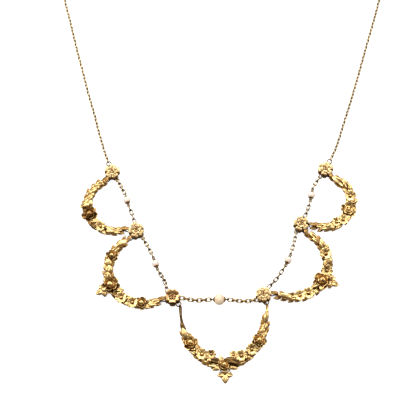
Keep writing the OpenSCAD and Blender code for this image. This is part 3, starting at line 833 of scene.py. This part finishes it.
def heading_to_end(half_w, drop, along, turn):
    """The way along the garland to its nearer end, turned outward."""
    angle = math.radians(along)
    x, y = half_w * math.sin(angle), drop * math.cos(angle)
    if along <= 90:
        return math.degrees(math.atan2(y, x)) - turn
    return math.degrees(math.atan2(-y, -x)) + turn


def make_strip(half_w, drop, middle_half_w):
    """The flat crescent of metal under the leaves, narrow at both ends."""
    begin(bpy.ops.mesh.primitive_plane_add, size=1)
    finish_piece("strip").data.transform(at(1, 0, 0.5) @ about("X", 90))
    bpy.ops.object.mode_set(mode="EDIT")
    pick_all()
    stretch(x=2 * STRIP_UNIT, z=STRIP_H, centre=(1, 0, 0))
    bpy.ops.mesh.spin(steps=STRIP_STEPS, angle=math.pi, center=(0, 0, 0), axis=(0, 0, 1))
    for sign in (1, -1):
        radius = 1 + sign * STRIP_UNIT
        pick(lambda point: (point.xy.length - 1) * sign > 0)
        wide = (half_w + sign * STRIP_END_HALF_W) / radius
        deep = (drop + sign * middle_half_w) / radius
        stretch(x=wide, y=deep)
    pick_all()
    bpy.ops.mesh.normals_make_consistent(inside=False)
    return finish_piece("strip")


def stem(start, stop):
    """The wire from an eye to the strip, a little narrower at the eye."""
    way = stop - start
    length = way.length + STEM_SPARE
    begin_along_x(bpy.ops.mesh.primitive_cylinder_add, vertices=12, radius=STEM_R, depth=length)
    pick(lambda point: point.x < 0)
    stretch(y=STEM_NARROWING[0], z=STEM_NARROWING[1])
    piece = finish_piece("stem")
    middle = (start + stop) / 2
    piece.data.transform(
        at(middle.x, middle.y, STEM_Z) @ about("Z", bearing_of_petals(way)) @ scaled(1, 1, STEM_THICKENING))
    return piece


def end_fittings(name, eye, leaf):
    """Eye and stem at both ends, in the garland's own plane, and a leaf over each eye but the centre's."""
    x, y, turn, half_w, drop, left, right = GARLANDS[name]
    parts = []
    for side, rosette in ((-1, left), (1, right)):
        end = Vector((side * half_w, 0))
        there = (about("Z", -turn) @ (Vector((*ROSETTES[rosette], 0)) - Vector((x, y, 0)))).xy
        way = (there - end).normalized()
        parts.append(stand_eye(eye, end, way))
        foot = spot(half_w, drop, STEM_FOOT if side > 0 else 180 - STEM_FOOT)
        parts.append(stem(end - STEM_START * way, foot))
        if name != "garland_centre":
            cover = at(end.x, end.y, COVER_Z) @ about("Z", bearing_of_petals(way)) @ at(-COVER_BACK, 0)
            parts.append(copy_at(leaf, cover @ scaled(*COVER_SIZE)))
    return parts


def trefoil(motifs, drop, middle_half_w, size_and_gap):
    """Three pointed lobes and a bud below the middle of a garland."""
    reach, gap = size_and_gap
    top = -(drop + middle_half_w + gap)
    lobes = [
        copy_at(motifs["leaf"], at(across * reach, top - down * reach, lift) @ about("Z", turn)
                @ scaled(size * reach, LOBE_BREADTH * size * reach, size * reach))
        for across, down, turn, size, lift in TREFOIL_LOBES
    ]
    above, lift, length = TREFOIL_BUD
    place = at(0, top + gap + above, lift) @ about("Z", -90)
    lobes.append(copy_at(motifs["bud"], place @ Matrix.Scale(length + gap, 4)))
    return lobes


def low_leaves(leaf, half_w, drop, band, leafy):
    """Low leaves in pairs whose tips pass the edges."""
    first, last = leafy
    count = int((half_w + drop) / LOW_SPACING)
    length, breadth, height = LOW_SIZE
    leaves = []
    for pair in range(count + 1):
        along = first + pair * (last - first) / count
        share = math.sqrt(math.sin(math.radians(along)))
        half = band[0] + (band[1] - band[0]) * share
        for side in (-1, 1):
            root = spot(half_w, drop, along + LOW_SPREAD[0] * side, side * LOW_SPREAD[1] * half)
            way = heading_to_end(half_w, drop, along, side * (LOW_TURN[0] + LOW_TURN[1] * (pair % 2)))
            place = at(root.x, root.y, LOW_Z[0] + LOW_Z[1] * share) @ about("Z", way)
            size = scaled(length, breadth + LOW_GROWTH * half, height)
            leaves.append(copy_at(leaf, place @ about("Y", -LOW_RISE) @ size))
    return leaves


def lay_motif(motifs, half_w, drop, kind, along, out, turn, size, lift):
    """One motif on a garland. Its place along, read as radians, gives it a sway of its own."""
    shape = kind.replace("dark_", "").replace("slim_", "")
    here = spot(half_w, drop, along, out)
    place = at(here.x, here.y, lift) @ about("Z", heading_to_end(half_w, drop, along, turn))
    if shape in BLOOMS:
        place = place @ about("Y", BLOOM_SWAY * math.cos(along))
    else:
        place = place @ about("Y", -LEAF_RISE) @ at(-0.5 * size, 0)
    place = place @ about("X", MOTIF_SWAY * math.sin(along))
    breadth = SLIM * size if kind == "slim_bud" else size
    motif = copy_at(motifs[shape], place @ scaled(size, breadth, size))
    if kind in ("dark_leaf", "dark_bud"):
        mark_painted_shade(motif, lambda point: True, DARK_LEAF_SHADE)
    return motif


def make_garland(name, motifs, eye, finish, painted_shade_finish):
    """The bright motifs, and the metal, leaves and eyes under them in a darker gold that paints in their
    shade.
    """
    x, y, turn, half_w, drop = GARLANDS[name][:5]
    table, middle_half_w, band, lobes, leafy = DRESSING[name]
    there = Matrix.Scale(MM, 4) @ at(x, y) @ about("Z", turn)
    bright, low = [], []
    for row in table:
        # Dark motifs go with the parts under the relief, into the painted shade
        (low if row[0].startswith("dark_") else bright).append(lay_motif(motifs, half_w, drop, *row))
    if lobes:
        bright += trefoil(motifs, drop, middle_half_w, lobes)
    relief = join(name + "_relief", bright)
    relief.data.transform(there)
    dress(relief, finish, "gold_relief", name)
    low += [make_strip(half_w, drop, middle_half_w)] + end_fittings(name, eye, motifs["leaf"])
    under = join(name + "_under", low + low_leaves(motifs["leaf"], half_w, drop, band, leafy))
    if name == "garland_centre":
        mark_painted_shade(under, lambda point: point.x < 0 and point.y > LEFT_END_Y, LEFT_END_SHADE)
    under.data.transform(there)
    dress(under, painted_shade_finish, "gold_relief", name)


# Rosettes

# The base: radius, height, sides, place along Y, and the share of its radius that is left between the
# petals, which is where a cosine that peaks at each petal falls below the last value
BASE_R = 2.3
BASE_H = 1.4
BASE_SIDES = 40
BASE_DROP = -0.55
BASE_CUT = 0.84
BASE_CUT_COSINE = -0.4
# The petals' place along Y and the height that they tilt about; rings of petals (reach, height, tilt, size),
# how many the inner two have, and the turn of the innermost
PETALS_DROP = -0.25
TILT_Z = 1.5
OUTER_RING = (0.45, 1.44, 4, 1.95)
INNER_RING = (0.28, 1.66, 12, 1.24)
HEART_RING = (0.16, 1.80, 42, 0.58)
INNER_PETALS = 5
HEART_TURN = 8
# The bead: height, radius, and how much painted shadow darkens it
BEAD_Z = 1.92
BEAD_R = 0.26
BEAD_SHADOW = 0.8


def garland_end(name, side):
    """The middle of the eye at one end of a garland."""
    x, y, turn, half_w = GARLANDS[name][:4]
    angle = math.radians(turn)
    return Vector((x + side * half_w * math.cos(angle), y + side * half_w * math.sin(angle)))


def rosette_lugs(index):
    """Each lug's place and the point that it faces."""
    centre = Vector(ROSETTES[index])
    lugs = []
    for name, row in GARLANDS.items():
        for side, rosette in ((-1, row[5]), (1, row[6])):
            if rosette == index:
                end = garland_end(name, side)
                lugs.append((end + JUMP_D * (centre - end).normalized(), end))
    for pearl, side in ((index, 0), (index - 1, 1)):
        if 0 <= pearl < len(PEARLS):
            bearing, *bend = CHAIN_SIDES[pearl][side]
            angle = math.radians(bearing)
            lugs.append((centre + LUG_REACH * Vector((math.cos(angle), math.sin(angle))), Vector(bend)))
    for rosette, route in BACK_CHAINS.values():
        if rosette == index:
            start = Vector(route[0])
            lugs.append((centre + LUG_REACH * (start - centre).normalized(), start))
    return lugs


def make_rosette(index, motifs, eye, finish, base_shade_finish):
    """A scalloped base with its lugs, and over it three rings of petals round a bead."""
    name = "rosette_%d" % (index + 1)
    centre = Vector(ROSETTES[index])
    there = Matrix.Scale(MM, 4) @ at(*centre)
    turn, cup, count = ROSETTE_TURNS[index], ROSETTE_CUPS[index], ROSETTE_PETALS[index]
    begin(bpy.ops.mesh.primitive_cylinder_add, vertices=BASE_SIDES, radius=BASE_R, depth=BASE_H)
    first_petal = math.radians(turn)
    pick(lambda point: math.cos(count * (math.atan2(point.y, point.x) - first_petal)) < BASE_CUT_COSINE)
    stretch(x=BASE_CUT, y=BASE_CUT)
    base = smooth(finish_piece("base"))
    base.data.transform(at(0, BASE_DROP, BASE_H / 2))
    lugs = [stand_eye(eye, place - centre, target - place) for place, target in rosette_lugs(index)]
    piece = join(name + "_base", [base] + lugs)
    piece.data.transform(there)
    # The base and lugs take the near black gold: painted shade under the petals
    dress(piece, base_shade_finish, "gold_matte", name)

    petal = motifs["heart_petal"]
    reach, lift, tilt, size = OUTER_RING
    bloom = ring_of_petals(petal, count, reach, lift, tilt + cup, size, turn, ROSETTE_BREADTH[index])
    reach, lift, tilt, size = INNER_RING
    size *= ROSETTE_HEARTS[index]
    bloom += ring_of_petals(petal, INNER_PETALS, reach, lift, tilt + cup, size, turn + 180 / count)
    bloom += ring_of_petals(petal, INNER_PETALS, *HEART_RING, turn + HEART_TURN)
    bead = copy_at(motifs["berry"], at(0, 0, BEAD_Z) @ scaled(BEAD_R, BEAD_R, BEAD_R))
    bloom.append(mark_painted_shade(bead, lambda point: True, BEAD_SHADOW))
    piece = smooth(join(name + "_petals", bloom))
    tilted = at(0, PETALS_DROP, TILT_Z) @ about("X", ROSETTE_TILTS[index]) @ at(0, 0, -TILT_Z)
    piece.data.transform(there @ tilted)
    dress(piece, finish, "gold_matte", name)


# Pearls

# Where a pearl is flattened and how much, and the radii of its drilled end, all as shares of its radius
FLAT_FROM = 0.8
FLATTENING = 0.98
DRILL_R = 0.1
DRILL_EDGE_R = 0.2
# Caps: gap to the pearl, radius of the hole, thickness; depth of the edge that is scalloped and of the
# scallops, as shares of the pearl's radius, their number and breadth; and the angle that keeps an edge sharp
CAP_GAP = 0.05
CAP_HOLE_R = 0.1
CAP_THICK = 0.08
CAP_EDGE = 0.14
SCALLOP_DEPTH = 0.08
SCALLOPS = 6
SCALLOP_COSINE = -0.3
CAP_EDGES = 60


def lay_on_pin(piece, index):
    """Turns a piece whose drilled axis is Z along the pearl's pin, in metres."""
    x, y, turn, radius = PEARLS[index]
    piece.data.transform(Matrix.Scale(MM, 4) @ at(x, y, radius) @ about("Z", turn) @ about("Y", 90))


def make_pearl(index, finish):
    """A drilled pearl, a little flattened where it is drilled."""
    radius = PEARLS[index][3]
    begin(bpy.ops.mesh.primitive_uv_sphere_add, segments=40, ring_count=24, radius=radius)
    pick(lambda point: abs(point.z) > FLAT_FROM * radius)
    stretch(z=FLATTENING)
    pick(lambda point: point.xy.length < DRILL_R * radius)
    bpy.ops.mesh.delete(type="VERT")
    pick(lambda point: point.xy.length < DRILL_EDGE_R * radius)
    bpy.ops.mesh.edge_face_add()
    piece = finish_piece("pearl_%d_body" % (index + 1))
    lay_on_pin(piece, index)
    smooth(piece, ROUND_EDGES)
    dress(piece, finish, "pearl", "pearl_%d" % (index + 1))


def make_cap(radius, low):
    """A thin scalloped cup over the +Z end of a pearl, open at the pin."""
    begin(bpy.ops.mesh.primitive_uv_sphere_add, segments=24, ring_count=24, radius=radius + CAP_GAP)
    pick(lambda point: point.z < low or point.xy.length < CAP_HOLE_R)
    bpy.ops.mesh.delete(type="VERT")
    pick(lambda point: point.z < low + CAP_EDGE * radius
         and math.cos(SCALLOPS * math.atan2(point.y, point.x)) < SCALLOP_COSINE)
    shift(z=SCALLOP_DEPTH * radius)
    cap = finish_piece("cap")
    apply(cap, "SOLIDIFY", thickness=CAP_THICK, offset=0)
    return cap


def make_caps(index, finish):
    """A cap at each end of a pearl."""
    radius = PEARLS[index][3]
    caps = []
    for turn, start in zip((0, 180), CAPS[index]):
        cap = make_cap(radius, start * radius)
        cap.data.transform(about("X", turn))
        caps.append(cap)
    piece = join("pearl_%d_caps" % (index + 1), caps)
    lay_on_pin(piece, index)
    smooth(piece, CAP_EDGES)
    dress(piece, finish, "gold_wire")


# Chains

def make_link(name):
    """An oval link along X in the XY plane, marked towards both ends for painted shade where the links cross.
    """
    link = LINKS[name]
    begin(bpy.ops.mesh.primitive_torus_add, major_radius=(link["width"] - link["wire"]) / 2,
          minor_radius=link["wire"] / 2, major_segments=link["around"], minor_segments=link["across"])
    straight = link["length"] - link["width"]
    pick(lambda point: point.x > TINY)
    shift(x=straight / 2)
    pick(lambda point: point.x < -TINY)
    shift(x=-straight / 2)
    return mark_painted_shade(smooth(finish_piece(name), ROUND_EDGES), lambda point: abs(point.x) > TINY, 1.0)


def walk(route, distance):
    """The point at this distance along the route."""
    for here, there in zip(route, route[1:]):
        length = (there - here).length
        if distance <= length:
            return here.lerp(there, distance / length)
        distance -= length
    return route[-1]


def string_links(links, kind, route, roll):
    """Links at an even pitch from one end of the route to the other, each rolled about it."""
    reach = LINKS[kind]["length"] - LINKS[kind]["wire"]
    total = sum((there - here).length for here, there in zip(route, route[1:]))
    count = 1 + math.ceil((total - reach) / LINKS[kind]["pitch"])
    pitch = (total - reach) / (count - 1)
    parts = []
    for step in range(count):
        tail, head = walk(route, step * pitch), walk(route, step * pitch + reach)
        stand = (head - tail).to_track_quat("X", "Z").to_matrix().to_4x4()
        place = Matrix.Translation((head + tail) / 2) @ stand @ about("X", roll(step))
        parts.append(copy_at(links[kind], place))
    return parts


def quarter_turns(step):
    """Every other link is a quarter turned."""
    return 90 * (step % 2)


def swaying_turns(step):
    """Quarter turns that lean and sway, as a fine chain lies."""
    return quarter_turns(step) + LINK_LEAN + LEAN_SWAY * math.sin(SWAY_PACE * step)


def make_pearl_chain(index, links, finish):
    """Oval links from the rosette's lug on each side to the eye of the pearl's pin."""
    x, y, turn, radius = PEARLS[index]
    kind = "middle_oval" if index == MIDDLE_PEARL else "side_oval"
    parts = []
    for side, rosette, (bearing, bend_x, bend_y) in zip((-1, 1), (index, index + 1), CHAIN_SIDES[index]):
        lug = Vector((*ROSETTES[rosette], RING_Z)) + about("Z", bearing) @ Vector((LUG_REACH, 0, 0))
        eye = Vector((x, y, radius)) + about("Z", turn) @ Vector((side * (radius + PIN_REACH), 0, 0))
        bend = Vector((bend_x, bend_y, RING_Z))
        first, second = (bend - lug).xy.length, (eye - bend).xy.length
        bend.z += (radius - RING_Z) * first / (first + second)
        parts += string_links(links, kind, [lug, bend, eye], quarter_turns)
    piece = join("pearl_chain_%d_links" % (index + 1), parts)
    piece.data.transform(Matrix.Scale(MM, 4))
    dress(piece, finish, "gold_chain", "pearl_chain_%d" % (index + 1))


def loop_arc(side):
    """The half ellipse on one side of the loop, up to the clasp's ring."""
    last = math.acos((CLASP_EYE_X + JUMP_D) / LOOP_HALF_W)
    arc = []
    for step in range(LOOP_STEPS + 1):
        angle = step * last / LOOP_STEPS
        z = RING_Z if step == LOOP_STEPS else LINK_Z
        arc.append(Vector((side * LOOP_HALF_W * math.cos(angle), LOOP_Y + LOOP_RISE * math.sin(angle), z)))
    return arc


def make_back_chain(name, links, finish):
    """Fine links from the rosette's ring to the clasp's ring, each about a quarter turned from the last."""
    rosette, route = BACK_CHAINS[name]
    start = Vector((*ROSETTES[rosette], RING_Z))
    hand = [Vector((*point, LINK_Z)) for point in route]
    way = Vector((hand[0].x - start.x, hand[0].y - start.y, 0)).normalized()
    first = start + (LUG_REACH + JUMP_D - RING_OVERLAP) * way
    whole = [first] + hand[1:] + loop_arc(-1 if name == "left" else 1)
    piece = join("back_chain_%s_links" % name, string_links(links, "fine_link", whole, swaying_turns))
    piece.data.transform(Matrix.Scale(MM, 4))
    dress(piece, finish, "gold_chain", "back_chain_" + name)


# The necklace in its studio

set_camera()
for name, values in SOFTBOXES.items():
    softbox(name, *values)
hang_sky()
lay_table()

golds = {name: gold(name, **values) for name, values in GOLDS.items()}
for name, tint in PAINTED_SHADE_TINTS.items():
    paint_marked_shade(golds[name], tint)
pearl_finishes = {name: pearl_finish(name, *tints) for name, tints in PEARL_TINTS.items()}

motifs = make_motifs()
eye = make_eye()
links = {kind: make_link(kind) for kind in LINKS}
for name in GARLANDS:
    make_garland(name, motifs, eye, golds["garland_gold"], golds["shaded_low_gold"])
for index in range(len(ROSETTES)):
    finish = golds["warm_reflection_gold" if index == WARM_REFLECTION_ROSETTE else "rosette_gold"]
    make_rosette(index, motifs, eye, finish, golds["dark_gold"])
for index in range(len(PEARLS)):
    middle = index == MIDDLE_PEARL
    make_pearl(index, pearl_finishes["cream_pearl" if middle else "white_pearl"])
    # The caps take the darker gold: painted shade at the pearls' ends
    make_caps(index, golds["shaded_low_gold"])
    make_pearl_chain(index, links, golds["oval_gold" if middle else "chain_gold"])
for name in BACK_CHAINS:
    make_back_chain(name, links, golds["chain_gold"])
put_away([*motifs.values(), eye, *links.values()])

for node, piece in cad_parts.items():
    piece.data.materials.clear()
    # The rings take a dark gold, painted shade under the rosettes
    piece.data.materials.append(golds["ring_gold" if "_ring_" in node else "wire_gold"])

bpy.context.view_layer.update()
